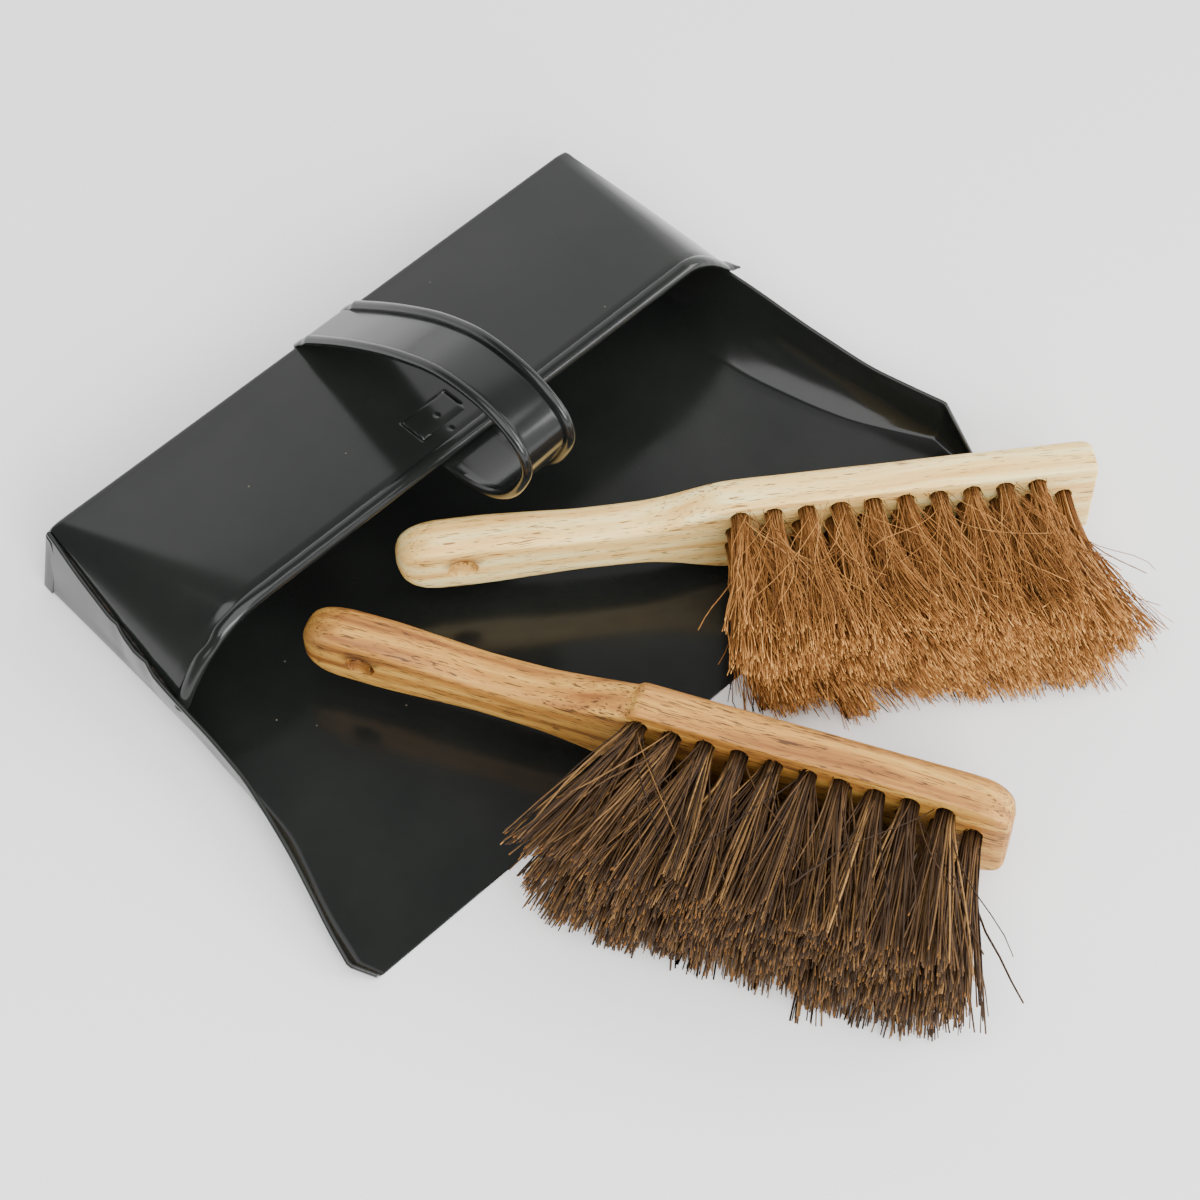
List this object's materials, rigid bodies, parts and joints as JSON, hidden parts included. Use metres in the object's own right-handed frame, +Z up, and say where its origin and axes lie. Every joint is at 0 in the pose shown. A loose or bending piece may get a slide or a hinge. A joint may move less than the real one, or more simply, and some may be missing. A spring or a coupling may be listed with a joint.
{
  "type": "dustpan and brush set",
  "caption": "Hooded sheet-steel dustpan with a looped strap handle, and soft and stiff wooden hand brushes laid across its open mouth.",
  "frame": {"origin": "centre of the underside of the tray's floor, on the surface it stands on", "axes": "+X to the right across the pan, -Y out of the pan's open mouth, +Z up"},
  "size_m": [0.3539, 0.3959, 0.1146],
  "materials": {
    "enamel": "gloss black stove enamel on thin sheet steel, slightly wavy, with small dents and specks",
    "beech": "pale cream unvarnished close-grained wood with fine pores, sanded",
    "rubberwood": "tan unvarnished wood with long grain and short dark pores, sanded",
    "coco_fibre": "soft fine curly ginger-brown coco fibre, matt",
    "bassine_fibre": "stiff straight dark brown bassine palm fibre, slightly waxy",
    "anchor_wire": "flat drawn steel anchor strip"
  },
  "bodies": {
    "dustpan": {"pan_tray": "enamel", "hood": "enamel", "handle_strap": "enamel"},
    "coco_brush": {"coco_stock": "beech", "coco_tufts_1": "coco_fibre", "coco_tufts_2": "coco_fibre", "coco_tufts_3": "coco_fibre", "coco_tufts_4": "coco_fibre", "coco_anchors_1": "anchor_wire", "coco_anchors_2": "anchor_wire", "coco_anchors_3": "anchor_wire", "coco_anchors_4": "anchor_wire"},
    "bassine_brush": {"bassine_stock": "rubberwood", "bassine_tufts_1": "bassine_fibre", "bassine_tufts_2": "bassine_fibre", "bassine_tufts_3": "bassine_fibre", "bassine_tufts_4": "bassine_fibre", "bassine_anchors_1": "anchor_wire", "bassine_anchors_2": "anchor_wire", "bassine_anchors_3": "anchor_wire", "bassine_anchors_4": "anchor_wire"}
  },
  "joints": [
    {"name": "coco_lift", "type": "slide", "parent": "dustpan", "child": "coco_brush", "axis": [0.4431, -0.8415, 0.3089], "range_m": [0, 0.25]},
    {"name": "bassine_lift", "type": "slide", "parent": "dustpan", "child": "bassine_brush", "axis": [0, -0.2588, 0.9659], "range_m": [0, 0.18]}
  ]
}
